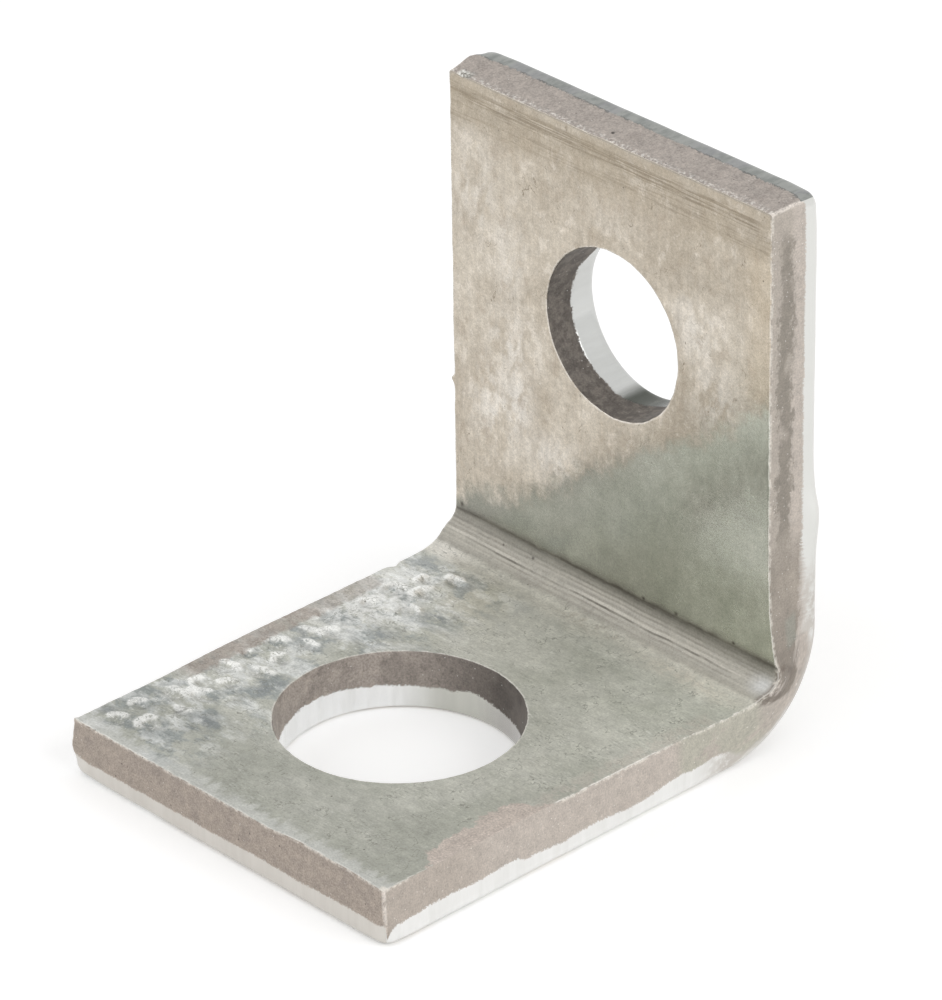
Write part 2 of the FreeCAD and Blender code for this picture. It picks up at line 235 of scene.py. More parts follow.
# A point that is less than this from an edge lies on it.
ON_EDGE = 0.01
front_depth, top_depth = np.interp(across, *zip(*front_line)), np.interp(across, *zip(*top_line))
right_depth, left_depth = np.interp(along, *zip(*right_line)), np.interp(along, *zip(*left_line))
break_depth = np.where(hand > 0, right_depth, left_depth)
break_depth = np.where(on_end, np.where(at_front, front_depth, top_depth), break_depth)
for name, line in (("base_hole", base_hole_line), ("upright_hole", upright_hole_line)):
    hole_depth = np.interp(angle_round[name], *zip(*line))
    break_depth = np.where(from_rim[name] < ON_EDGE, hole_depth, break_depth)
break_depth += 0.07 * wander(2.2, 1, (1, 1, 0)) + 0.06 * wander(0.8, 2, (1, 1, 0))
depth = np.where(
    layer < 0.5,
    2 * layer * break_depth,
    break_depth + (2 * layer - 1) * (THICKNESS - break_depth),
)
depth = np.where(layer == 1, THICKNESS, depth)
beyond_break = depth - break_depth
broken = np.clip(beyond_break / (THICKNESS - break_depth), 0, 1)

unrolled = np.column_stack([across, along, depth])
inset = np.minimum(from_outline, np.minimum(*from_rim.values()))


def rounded_corner(first, second, radius):
    """Moves points near a square corner onto a round one. Both distances start at the corner."""
    u, v = np.clip(1 - first / radius, 0, None), np.clip(1 - second / radius, 0, None)
    shrink = np.maximum(u, v) / np.maximum(np.hypot(u, v), 1e-9)
    shrink = np.where((u > 0) & (v > 0), shrink, 1)
    return (
        np.where(u > 0, radius * (1 - u * shrink), first),
        np.where(v > 0, radius * (1 - v * shrink), second),
    )


# A sheared wall leans in over its broken part and is rough there. Its smooth band wanders a little.
# What moves the wall moves the faces beside it too, less and less away from the edge.
SHEAR_LEAN, EDGE_REACH = 0.25, 3
front_lean = np.interp(across, [-22, 6, 10, 17, 22], [0, 0.05, 0.5, 0.4, 0.1])
lean = np.where(on_end & at_front, front_lean, SHEAR_LEAN)
grit = 0.05 * wander(1.3, 3) + 0.035 * wander(0.55, 4) + 0.02 * wander(0.3, 5)
step_in = 0.05 * smoothly(0, 0.15, beyond_break) + grit * smoothly(0, 0.4, beyond_break)
wave = 0.07 * wander(7, 6, (1, 1, 0.15)) + 0.03 * wander(2.5, 7, (1, 1, 0.15))
moved_in = lean * broken + step_in - wave

# The smooth band stands out at the left front corner and low on the right of the upright leg.
right_bulge = 0.42 * bump(along, 67.6, np.where(along < 67.6, 3.2, 1.8))
right_bulge += 0.4 * smoothly(46, 53, along) * smoothly(74, 66, along)
left_bulge = 0.2 + 0.36 * smoothly(5, 1, along) + 0.42 * smoothly(90, 100, along)
proud = np.where(hand > 0, smoothly(2.5, 1.0, depth), smoothly(6.3, 2.6, depth))
struck_bulge = 0.33 * smoothly(10, 20, along) * smoothly(47, 41, along)
moved_out = proud * np.where(hand > 0, right_bulge, left_bulge)
moved_out = np.where(hand > 0, moved_out, np.maximum(moved_out, struck_bulge))
moved_out *= smoothly(EDGE_REACH, 0, from_side)

# The squeezed inside of the bend swells out at both ends, more on the right, where the rest of the
# base leg's inner edge stands out too.
RIM_ELSEWHERE = 21.95
right_rim = [
    (0, 21.75), (10, 21.8), (21, 21.9), (30, 22), (38, 22.1), (44, 22.35), (48, 22.45),
    (49.3, 22.75), (50.3, 23.2), (51, 23.45), (51.84, 23.6), (52.5, 23.35), (53, 23.05),
    (54, 22.83), (55.75, 22.55), (58.5, 22.2), (63.7, 21.95), (PLATE_END, 21.95),
]
right_swell = np.interp(along, *zip(*right_rim)) - RIM_ELSEWHERE
left_swell = 0.85 * bump(along, 50, np.where(along < 50, 3.6, 1.6)) - 0.5 * bump(along, 42.3, 0.5)
deep = smoothly(0.8, 6.2, depth)
swell = deep * np.where(hand > 0, right_swell, left_swell) * smoothly(7, 0, from_side)

# A small nub stands out of the left edge, a little below the upright hole.
nub = 0.4 * bump(along, 67.3, 0.4) * smoothly(2.5, 5, depth) * smoothly(0.8, 0, from_side)
swell += nub * (hand < 0)

# A chip is knocked out of the top left corner.
chip = bump(across, -20.2, 0.6) * smoothly(5.0, 5.9, depth) * (along > PLATE_END - ON_EDGE)
moved_in += chip * (0.12 + 0.5 * wander(0.5, 15))

corner_radius = 1.6 - 1.25 * smoothly(1.2, 3.6, depth)
side_gap, end_gap = rounded_corner(from_side, from_end, corner_radius)
side_gap += smoothly(EDGE_REACH, 0, from_side) * moved_in - moved_out - swell
end_gap += smoothly(EDGE_REACH, 0, from_end) * np.maximum(moved_in, 0)

# The shear pulls the outer edge of the plate down into a roll and leaves a small burr inside.
SHEAR_ROLL, BURR_ROUND = 1.0, 0.14
near_corner = smoothly(4, 1, np.maximum(from_side, from_end))
rolled_in, rolled_up = rounded_corner(from_outline, depth, SHEAR_ROLL + 0.2 * near_corner)
burr_in, burr_down = rounded_corner(from_outline, THICKNESS - depth, BURR_ROUND)
drawn = np.where(depth < THICKNESS / 2, rolled_in - from_outline, burr_in - from_outline)
height = np.where(depth < THICKNESS / 2, rolled_up, THICKNESS - burr_down)
corner_u = np.clip(1 - from_side / corner_radius, 0, None)
corner_v = np.clip(1 - from_end / corner_radius, 0, None)
corner_size = np.maximum(np.hypot(corner_u, corner_v), 1e-9)
at_corner = (corner_u > 0) & (corner_v > 0)
side_gap += drawn * np.where(at_corner, corner_u / corner_size, from_side < from_end)
end_gap += drawn * np.where(at_corner, corner_v / corner_size, from_side >= from_end)

new_across = hand * (SIDE - side_gap)
new_along = np.where(at_front, end_gap, PLATE_END - end_gap)

# The punched holes roll and break the same way, and are a trace out of round.
for name, (hole_across, hole_along, radius, widening) in holes.items():
    gap = from_rim[name]
    close = gap < 4
    rolled_gap, rolled_height = rounded_corner(gap, depth, HOLE_ROLL)
    burred_gap, burred_height = rounded_corner(gap, THICKNESS - depth, BURR_ROUND)
    low = depth < THICKNESS / 2
    widened = smoothly(EDGE_REACH, 0, gap) * (widening * broken + step_in + 0.04 * wander(6, 8))
    new_gap = np.where(low, rolled_gap, burred_gap) + widened
    stretch = (radius + new_gap) / np.maximum(radius + gap, 1e-9)
    new_across = np.where(close, hole_across + (across - hole_across) * stretch, new_across)
    new_along = np.where(close, hole_along + (along - hole_along) * stretch, new_along)
    height = np.where(close & low, rolled_height, height)
    height = np.where(close & ~low, THICKNESS - burred_height, height)

# The inner face is a trace uneven. The bending tool pressed ridges into the inside of the bend.
inner = layer == 1
lift = 0.025 * wander(9, 9) + 0.012 * wander(3, 10) + 0.006 * wander(1.1, 11)
tool_lines = [
    (49.2, 0.4, -0.01), (50.25, 0.16, -0.03), (50.6, 0.25, 0.012), (51.3, 0.25, -0.01),
    (52.7, 0.2, -0.045),
]
for place, reach, rise in tool_lines:
    lift += rise * bump(along, place + 0.05 * np.sin(across / 9), reach)
lift = np.where(inner, lift, 0)

# Plain round dents of a blunt peening tool run along the left of the base leg in two staggered rows.
# Each blow threw up a lip on one side, painted with a highlight, and roughened the metal round it.
dents = []
for number in range(17):
    dents.append((-18.7 + 2.7 * (number % 2) + 0.5 * math.sin(2.3 * number), 2.9 + 1.72 * number))
for number in range(6):
    dents.append((-17.9 + 2.9 * (number % 2) + 0.6 * math.sin(1.9 * number), 35.2 + 1.8 * number))
rims, pits, pressed = np.zeros(len(flat)), np.zeros(len(flat)), np.zeros(len(flat))
out_of_round = 0.3 * wander(1.7, 12) + 0.2 * wander(0.7, 14)
for number, (dent_across, dent_along) in enumerate(dents):
    size = 1.05 + 0.2 * math.sin(1.7 * number)
    one, other = across - dent_across, along - dent_along
    far = np.hypot(one / (1.25 * size), other / (0.9 * size)) + out_of_round
    high_side = np.cos(np.arctan2(other, one) - 2.4 - 0.9 * math.sin(1.3 * number))
    rims = np.maximum(rims, bump(far, 1.05, 0.4) * smoothly(-0.1, 0.9, high_side))
    pits = np.maximum(pits, smoothly(1.0, 0.3, far))
    pressed = np.maximum(pressed, smoothly(2.3, 1.2, far))
struck = inner & (along < BEND_START)
rims, pits, pressed = rims * struck, pits * struck, pressed * struck
lift += 0.16 * rims - 0.24 * pits
lift += struck * pressed * (0.05 * wander(1.4, 13) + 0.04 * wander(0.6, 16))

# The plate is folded at the bend, which thins it: the inside and the outside have two centres.
turn = np.clip((new_along - BEND_START) / INNER_BEND, 0, math.pi / 2)
sine, cosine = np.sin(turn), np.cos(turn)
inner_y = np.minimum(new_along, BEND_START) - BASE_LENGTH + INNER_BEND * sine
inner_z = THICKNESS + INNER_BEND * (1 - cosine) + np.maximum(new_along - BEND_END, 0)
before = [0, STRAIGHT_BEFORE, BEND_START]
after = [BEND_END, STRAIGHT_AFTER, PLATE_END]
before_y = [-BASE_LENGTH, STRAIGHT_BEFORE - BASE_LENGTH, -OUTER_BEND]
level_after = STRAIGHT_AFTER - BEND_END + THICKNESS + INNER_BEND
after_z = [0, level_after - OUTER_BEND, UPRIGHT_HEIGHT - OUTER_BEND]
outer_y = np.interp(new_along, before, before_y) + OUTER_BEND * sine
outer_z = np.interp(new_along, after, after_z) + OUTER_BEND * (1 - cosine)
share = height / THICKNESS
placed = np.column_stack(
    [
        new_across,
        outer_y + (inner_y - outer_y) * share - lift * sine + BACK_FACE,
        outer_z + (inner_z - outer_z) * share + lift * cosine,
    ]
)

mesh = bpy.data.meshes.new("bracket_plate")
mesh.from_pydata((placed * MM).tolist(), [], panels)
mesh.polygons.foreach_set("material_index", panel_kinds)
mesh.polygons.foreach_set("use_smooth", [True] * len(panels))
for name, values in (
    ("unrolled", unrolled),
    ("edges", np.column_stack([inset, beyond_break, broken])),
    ("struck", np.column_stack([rims, pits, pressed])),
):
    attribute = mesh.attributes.new(name, "FLOAT_VECTOR", "POINT")
    attribute.data.foreach_set("vector", values.astype(np.float32).ravel())
mesh.validate()
bracket_plate = bpy.data.objects.new("bracket_plate", mesh)
bpy.context.scene.collection.objects.link(bracket_plate)

bm = bmesh.new()
bm.from_mesh(mesh)
bmesh.ops.recalc_face_normals(bm, faces=bm.faces)
bm.to_mesh(mesh)
bm.free()
mesh.set_sharp_from_angle(angle=math.radians(50))


class Nodes:
    """Lays shader nodes. Wherever a value is asked for, a socket or a plain number will do."""

    def __init__(self, tree):
        self.tree = tree

    def put(self, socket, value):
        if isinstance(value, bpy.types.NodeSocket):
            self.tree.links.new(value, socket)
        elif socket.type == "RGBA":
            socket.default_value = (*value, 1)
        else:
            socket.default_value = value

    def add(self, kind, inputs, **settings):
        made = self.tree.nodes.new("ShaderNode" + kind)
        for name, value in settings.items():
            setattr(made, name, value)
        for name, value in inputs.items():
            self.put(made.inputs[name], value)
        return made

    def read(self, name):
        """A mesh attribute, whole and as its three numbers."""
        whole = self.add("Attribute", {}, attribute_name=name).outputs["Vector"]
        return whole, *self.add("SeparateXYZ", {"Vector": whole}).outputs

    def maths(self, operation, *values):
        return self.add("Math", dict(enumerate(values)), operation=operation).outputs[0]

    def both(self, *masks):
        first, *others = masks
        for other in others:
            first = self.maths("MULTIPLY", first, other)
        return first

    def ramp(self, value, low, high, top=1):
        """Rises smoothly from 0 where the value is low to the top where it is high."""
        inputs = {"Value": value, "From Min": low, "From Max": high, "To Max": top}
        return self.add("MapRange", inputs, interpolation_type="SMOOTHSTEP").outputs["Result"]

    def plus(self, first, second):
        return self.maths("ADD", first, second)

    def less(self, first, second):
        return self.maths("SUBTRACT", first, second)

    def level(self, value, contrast):
        """A number around 1 that follows a noise."""
        return self.maths("MULTIPLY_ADD", value, contrast, 1 - contrast / 2)

    def span(self, value, low, high, soft, top=1):
        """The top between low and high, fading over the soft width outside them."""
        rising = self.ramp(value, low - soft, low, top)
        return self.both(rising, self.ramp(value, high + soft, high))

    def noise(self, place, size, stretch=(1, 1, 1), shift=0, detail=3, rough=0.55):
        """Cloudy noise with hills about one size wide, drawn out where the stretch is small."""
        scale = [part / size for part in stretch]
        inputs = {0: place, 1: scale, 2: (shift, 2.3 * shift, 5.1 * shift)}
        moved = self.add("VectorMath", inputs, operation="MULTIPLY_ADD").outputs[0]
        inputs = {"Vector": moved, "Scale": 1, "Detail": detail, "Roughness": rough}
        return self.add("TexNoise", inputs).outputs[0]

    def follow(self, value, stops, high):
        """A number between 0 and high that passes through the stops."""
        (first, _), (last, _) = stops[0], stops[-1]
        share = self.maths("DIVIDE", self.less(value, first), last - first)
        made = self.add("FloatCurve", {"Value": share})
        points = made.mapping.curves[0].points
        for place, number in stops[1:-1]:
            points.new((place - first) / (last - first), number / high)
        points[0].location, points[-1].location = (0, stops[0][1] / high), (1, stops[-1][1] / high)
        made.mapping.update()
        return self.maths("MULTIPLY", made.outputs[0], high)

    def spot(self, place, middle, reach, top=1):
        """A soft round patch on the flat plate."""
        shift = (-middle[0] / reach[0], -middle[1] / reach[1], 0)
        inputs = {0: place, 1: (1 / reach[0], 1 / reach[1], 0), 2: shift}
        shrunk = self.add("VectorMath", inputs, operation="MULTIPLY_ADD").outputs[0]
        far = self.add("VectorMath", {0: shrunk}, operation="LENGTH").outputs["Value"]
        return self.ramp(far, 1, 0, top)

    def spots(self, place, listed):
        """Several soft patches as one mask, each given by its middle, reach and strength."""
        first, *others = [self.spot(place, *each) for each in listed]
        for other in others:
            first = self.maths("MAXIMUM", first, other)
        return first

    def blend(self, share, first, second):
        """The first colour, or the second where the share is 1."""
        made = self.add("Mix", {0: share}, data_type="RGBA")
        self.put(made.inputs[6], first)
        self.put(made.inputs[7], second)
        return made.outputs[2]

    def scaled(self, vector, amount):
        """A colour made lighter or darker, or a place moved closer or further."""
        return self.add("VectorMath", {0: vector, "Scale": amount}, operation="SCALE").outputs[0]


def effect(name, inputs, outputs):
    """A node group to be used by several materials."""
    group = bpy.data.node_groups.new(name, "ShaderNodeTree")
    for label, kind in inputs.items():
        group.interface.new_socket(label, in_out="INPUT", socket_type="NodeSocket" + kind)
    for label, kind in outputs.items():
        group.interface.new_socket(label, in_out="OUTPUT", socket_type="NodeSocket" + kind)
    nodes = Nodes(group)
    start = nodes.tree.nodes.new("NodeGroupInput")
    end = nodes.tree.nodes.new("NodeGroupOutput")
    return nodes, start.outputs, end.inputs


def material(name):
    made = bpy.data.materials.new(name)
    made.use_nodes = True
    return Nodes(made.node_tree), made.node_tree.nodes["Principled BSDF"].inputs


# Grain of torn or dull metal, as a tone around 1 and as a height.
n, given, result = effect(
    "metal_grain",
    {"Place": "Vector", "Size": "Float", "Contrast": "Float"},
    {"Tone": "Float", "Height": "Float"},
)
shrunk = n.scaled(given["Place"], n.maths("DIVIDE", 1, given["Size"]))
fine = n.noise(shrunk, 1, shift=3, detail=3, rough=0.7)
broad = n.noise(shrunk, 5, shift=7, detail=1)
height = n.plus(n.maths("MULTIPLY", fine, 0.75), n.maths("MULTIPLY", broad, 0.25))
away = n.maths("MULTIPLY", n.less(height, 0.5), given["Contrast"])
n.put(result["Tone"], n.plus(1, away))
n.put(result["Height"], height)

# Scattered specks, such as pits or grit.
n, given, result = effect(
    "specks",
    {"Place": "Vector", "Spacing": "Float", "Radius": "Float", "Share": "Float"},
    {"Mask": "Float"},
)
shrunk = n.scaled(given["Place"], n.maths("DIVIDE", 1, given["Spacing"]))
cells = n.add("TexVoronoi", {"Vector": shrunk, "Scale": 1})
reach = n.maths("DIVIDE", given["Radius"], given["Spacing"])
near = n.maths("LESS_THAN", cells.outputs["Distance"], reach)
red = n.add("SeparateColor", {"Color": cells.outputs["Color"]}).outputs[0]
n.put(result["Mask"], n.both(near, n.maths("LESS_THAN", red, given["Share"])))

# How far beyond the break line a place is, made ragged by the grain, and the relief of torn metal.
n, given, result = effect(
    "torn_start",
    {"Beyond": "Float", "Grain": "Float"},
    {"Ragged": "Float", "Relief": "Float"},
)
away = n.less(given["Grain"], 0.5)
n.put(result["Ragged"], n.plus(given["Beyond"], n.maths("MULTIPLY", away, 1.1)))
rough_part = n.both(n.ramp(given["Beyond"], 0, 0.15), given["Grain"])
n.put(result["Relief"], n.maths("MULTIPLY", rough_part, 1.6))


def use(nodes, name, **inputs):
    """The outputs of an effect laid in a material."""
    made = nodes.add("Group", {}, node_tree=bpy.data.node_groups[name])
    for label, value in inputs.items():
        nodes.put(made.inputs[label], value)
    return made.outputs


def sprinkled(n, color, place, spacing, radius, share, strength, tone, where=1):
    """The colour with specks of another tone scattered over it."""
    specks = use(n, "specks", Place=place, Spacing=spacing, Radius=radius, Share=share)["Mask"]
    return n.blend(n.both(specks, where, strength), color, tone)


# The two faces of the plate keep the dull zinc plating. It is tan and rubbed on the upright leg and
# greener and flatter on the base leg. In each material x is how far across the flat plate a place
# is, s how far along it and d how deep from the outer face, in millimetres.
n, shader = material("plate_face")
place, x, s, d = n.read("unrolled")
_, inset, _, _ = n.read("edges")
_, rim, pit, pressed = n.read("struck")
inside = n.ramp(d, 2.5, 3.9)
upright = n.ramp(s, 51.5, 53.2)

# The upright leg is a cloudy tan with pale wiped patches, shaded ones, stains and scratches.
cloud = n.noise(place, 11, (1, 0.8, 1), 1, 5, 0.68)
tan = n.blend(n.ramp(cloud, 0.4, 0.6), (0.47, 0.415, 0.34), (0.56, 0.505, 0.425))
slanted = n.add("VectorRotate", {"Vector": place, "Angle": 0.5}, rotation_type="Z_AXIS").outputs[0]
wiped = n.noise(slanted, 1.5, (1, 0.25, 1), 9, 5, 0.66)
broken = n.noise(place, 3.6, (1, 0.7, 1), 13, 4, 0.68)
ragged = n.both(n.ramp(broken, 0.36, 0.56), n.ramp(wiped, 0.3, 0.54))
patches = [
    ((-18.5, 92), (6, 12), 0.8),
    ((-12.8, 68.5), (4, 7.5), 1),
    ((-13.2, 74.5), (6, 7), 0.9),
    ((-15.5, 67), (7, 9), 1),
    ((-7.5, 63.5), (8, 5), 0.8),
    ((12.2, 85.7), (6, 7), 0.8),
    ((14.5, 79), (6, 7), 0.75),
    ((-14, 84), (4, 10), 0.6),
    ((1, 93.5), (9, 3), 0.5),
]
tan = n.blend(n.both(n.spots(place, patches), ragged), tan, (0.7, 0.66, 0.6))
patches = [
    ((12, 91), (9, 5), 0.5),
    ((-18, 99), (6, 3), 0.4),
    ((-12, 59), (9, 2.5), 0.35),
    ((0, 88), (4, 6), 0.3),
]
shaded = n.both(n.spots(place, patches), n.ramp(wiped, 0.38, 0.62))
tan = n.blend(shaded, tan, (0.36, 0.32, 0.26))
brown = n.both(n.ramp(s, 86, 98, 0.5), n.ramp(broken, 0.36, 0.56))
tan = n.blend(brown, tan, (0.42, 0.36, 0.28))
stain = n.noise(place, 2.2, (1, 0.7, 1), 5, 6, 0.76)
tan = n.blend(n.both(n.ramp(stain, 0.52, 0.64), 0.36), tan, (0.36, 0.3, 0.23))
tan = n.blend(n.both(n.ramp(stain, 0.47, 0.38), 0.36), tan, (0.76, 0.7, 0.62))
rubbed = n.level(n.noise(place, 0.4, (1, 0.05, 1), 2, 3), 0.26)
rubbed = n.both(rubbed, n.level(n.noise(place, 0.5, (0.6, 0.6, 1), 3, 4), 0.4))
streaks = n.both(n.less(rubbed, 1), n.ramp(s, 100.3, 99.5))
tan = n.scaled(tan, n.plus(streaks, 1))
tan = n.blend(n.both(n.ramp(x, 17.5, 20.5), n.span(s, 82, 95, 3), 0.4), tan, (0.55, 0.46, 0.34))
plain = tan
veins = n.maths("ABSOLUTE", n.less(n.noise(place, 2.4, (1, 0.7, 1), 6, 3, 0.6), 0.5))
scratched = n.both(n.ramp(veins, 0.01, 0.002, 0.75), n.ramp(wiped, 0.56, 0.63))
tan = n.blend(scratched, tan, (0.2, 0.165, 0.12))

# Dark scuffs run along its top edge.
scuffs = n.noise(place, 0.24, (0.04, 1, 1), 23, 4, 0.6)
below_top = n.plus(s, n.maths("MULTIPLY", n.noise(place, 5, (1, 0, 1), 25, 2), 1.2))
scuffed = n.both(n.span(below_top, 99.9, 100.9, 0.5), n.ramp(x, 22, 19), n.ramp(scuffs, 0.42, 0.56))
tan = n.blend(n.both(scuffed, 0.7), tan, (0.22, 0.18, 0.13))
scuffed = n.both(n.span(below_top, 97.6, 99.6, 1.2), n.ramp(scuffs, 0.5, 0.62))
tan = n.blend(n.both(scuffed, 0.4), tan, (0.24, 0.2, 0.15))
dirty = n.both(n.span(below_top, 97.8, 101, 2), n.ramp(cloud, 0.3, 0.6))
tan = n.blend(n.both(dirty, 0.45), tan, (0.35, 0.295, 0.22))

# Low down the leg shines green: a painted reflection of the base leg, painted dark beyond a slanted line
# as its gloss would show it.
border_line = [
    (-22.5, 54), (-20, 55.5), (-15, 57), (-10, 59.2), (-6, 61.7), (-3, 64.5), (0, 66.6), (3, 68.6),
    (7, 71), (10, 73.6), (14, 76.2), (18, 78.9), (21, 80.8), (22.5, 82),
]
border = n.less(n.follow(x, border_line, 90), s)
border = n.plus(border, n.maths("MULTIPLY", n.less(cloud, 0.5), 7))
border = n.plus(border, n.maths("MULTIPLY", n.less(stain, 0.5), 8))
base_reflection_share = n.ramp(border, -1.4, 2.2)
# Beyond this slanted line the painted reflection of the base leg turns dark.
mirrored = n.less(n.less(s, 66.43), n.maths("MULTIPLY", x, 0.7686))
dark_reflected_green = n.blend(n.ramp(cloud, 0.38, 0.62), (0.208, 0.221, 0.19), (0.248, 0.257, 0.222))
light_reflected_green = n.blend(n.ramp(cloud, 0.38, 0.62), (0.395, 0.415, 0.36), (0.46, 0.475, 0.42))
light_reflected_green = n.scaled(light_reflected_green, n.maths("MULTIPLY_ADD", n.ramp(x, -8, 20), 0.52, 0.77))
painted_base_reflection = n.blend(n.ramp(mirrored, -2, 1.5), light_reflected_green, dark_reflected_green)
painted_base_reflection = n.scaled(painted_base_reflection, n.level(stain, 0.5))
# The painted reflection of the base leg covers the lower leg.
tan = n.blend(n.both(base_reflection_share, 0.85), tan, painted_base_reflection)

# The base leg is green grey. Where it was struck it has dents, with painted reflection, glare and
# shadow.
haze = n.noise(place, 9, (0.7, 1, 1), 31, 5, 0.64)
green = n.blend(n.ramp(haze, 0.38, 0.62), (0.43, 0.435, 0.38), (0.52, 0.52, 0.465))
struck_side = n.both(n.ramp(x, -4, -13), n.ramp(s, 49, 45))
bluish = n.noise(place, 3.4, (0.7, 1, 1), 41, 5, 0.68)
# A bluish painted reflection over the struck side.
blue_reflection = n.both(struck_side, n.ramp(bluish, 0.48, 0.58, 0.75))
green = n.blend(blue_reflection, green, (0.27, 0.3, 0.3))
# Pale painted glare over the struck side.
pale = n.both(struck_side, n.ramp(n.noise(place, 2.6, (0.6, 1, 1), 43, 4, 0.68), 0.46, 0.6, 0.8))
green = n.blend(pale, green, (0.72, 0.73, 0.71))
# A darker bluish painted reflection round the dents.
green = n.blend(n.both(pressed, n.ramp(bluish, 0.4, 0.58, 0.5)), green, (0.26, 0.28, 0.275))
lumps = n.noise(place, 0.7, (1, 1, 1), 46, 3, 0.68)
crumbs = n.noise(place, 0.32, (1, 1, 1), 48, 3, 0.7)
# Dark patches of painted shadow near the dents.
shadow_smudges = [
    ((-12.6, 8.5), (3, 3.5), 0.75),
    ((-12.8, 17), (2.5, 5.5), 0.75),
    ((-12.5, 31), (2.5, 4), 0.75),
    ((-11, 38), (3.5, 3), 0.75),
    ((-20, 45), (3, 2.6), 0.75),
    ((-21, 3.5), (2, 1.6), 0.75),
]
ragged = n.ramp(n.noise(place, 1.6, (0.5, 1, 1), 64, 5, 0.68), 0.38, 0.55)
green = n.blend(n.both(n.spots(place, shadow_smudges), ragged), green, (0.215, 0.235, 0.24))
# Frosty painted highlights over the struck patch.
frost_highlight = n.both(n.spot(place, (-18.5, 36), (9, 13)), n.ramp(lumps, 0.34, 0.54), 0.75)
green = n.blend(frost_highlight, green, (0.8, 0.8, 0.78))
streaky = n.ramp(n.noise(place, 0.35, (0.08, 1, 1), 37, 3), 0.5, 0.62)
green = n.blend(n.both(n.spot(place, (-11.5, 30), (5, 9)), streaky, 0.5), green, (0.24, 0.25, 0.24))
green = n.blend(n.both(n.spot(place, (-6, 35.5), (6, 2.5)), streaky, 0.55), green, (0.68, 0.68, 0.64))
# Painted highlights on the lumps round the dents and on their lips, and in the pits painted shade with a
# few painted glints.
green = n.blend(n.both(pressed, n.ramp(lumps, 0.56, 0.68), 0.4), green, (0.8, 0.8, 0.77))
green = n.blend(n.both(n.ramp(rim, 0.15, 0.7), n.ramp(crumbs, 0.32, 0.5), 0.9), green, (0.9, 0.9, 0.87))
green = n.blend(n.both(pit, n.ramp(lumps, 0.44, 0.6), 0.45), green, (0.36, 0.36, 0.34))
green = n.blend(n.both(pit, n.ramp(crumbs, 0.52, 0.64), 0.6), green, (0.82, 0.82, 0.79))
wavy = n.noise(place, 3, (0.5, 1, 1), 45, 4, 0.66)
warm = n.ramp(n.maths("MULTIPLY_ADD", wavy, 6, s), 48.3, 51, 0.6)
green = n.blend(warm, green, (0.69, 0.665, 0.59))
rubbed = n.both(n.spot(place, (-20.5, 48), (6, 2.2), 0.7), n.ramp(cloud, 0.3, 0.5))
green = n.blend(rubbed, green, (0.83, 0.8, 0.74))
flecks = n.level(n.noise(place, 0.34, (0.3, 1, 1), 33, 4), 0.36)
mottled = n.noise(place, 1.3, (0.7, 1, 1), 34, 5, 0.74)
flecks = n.both(flecks, n.level(mottled, 0.6))
green = n.scaled(green, flecks)
ticks = n.noise(place, 0.2, (0.3, 1, 1), 35, 2)
ticked = n.ramp(wavy, 0.48, 0.6)
green = n.blend(n.both(n.ramp(ticks, 0.58, 0.68), ticked, 0.5), green, (0.22, 0.22, 0.19))
green = n.blend(n.both(n.ramp(ticks, 0.41, 0.31), ticked, 0.35), green, (0.78, 0.78, 0.74))
green = n.scaled(green, n.maths("MULTIPLY_ADD", n.both(n.ramp(x, 6, 20), n.ramp(s, 20, 34)), 0.12, 1))
green = n.scaled(green, n.maths("MULTIPLY_ADD", n.ramp(s, 15, 8), -0.1, 1))
green = n.scaled(green, n.maths("MULTIPLY_ADD", n.span(s, 36, 46, 3), 0.07, 1))
scratched = n.both(n.ramp(veins, 0.012, 0.003, 0.6), n.ramp(mottled, 0.46, 0.56))
green = n.blend(scratched, green, (0.2, 0.2, 0.17))
ragged = n.noise(place, 1.0, (1, 0.35, 1), 47, 3, 0.7)
frost = n.ramp(n.maths("MULTIPLY_ADD", ragged, 5, s), 4.9, 3.4, 0.5)
green = n.blend(frost, green, (0.64, 0.645, 0.625))

# The bending tool left a grey strip of fine lines between the legs, and a crease above it in painted
# shade.
lines = n.noise(place, 0.3, (0.015, 1, 1), 51, 2, 0.65)
crumpled = n.noise(place, 1.6, (0.6, 1, 1), 52, 5, 0.66)
fold = n.span(n.maths("MULTIPLY_ADD", crumpled, 1.5, s), 49.9, 53.5, 0.8)
# Painted shade: the strip darkens towards the crease.
folded = n.blend(n.ramp(s, 52.8, 51.2), (0.235, 0.225, 0.195), (0.37, 0.35, 0.305))
folded = n.scaled(folded, n.both(n.level(lines, 0.9), n.level(stain, 0.8)))
color = n.blend(n.both(fold, 0.88), n.blend(upright, green, tan), folded)
LINE_WAVER, LINE_SOFT = 0.6, 0.1
waver = n.maths("MULTIPLY_ADD", n.noise(place, 5, (0.5, 1, 1), 54, 3), LINE_WAVER, s)
broken_line = n.ramp(n.noise(place, 3, (0.4, 1, 1), 56, 4, 0.66), 0.32, 0.6)
ends = n.span(x, -14, 14, 6)
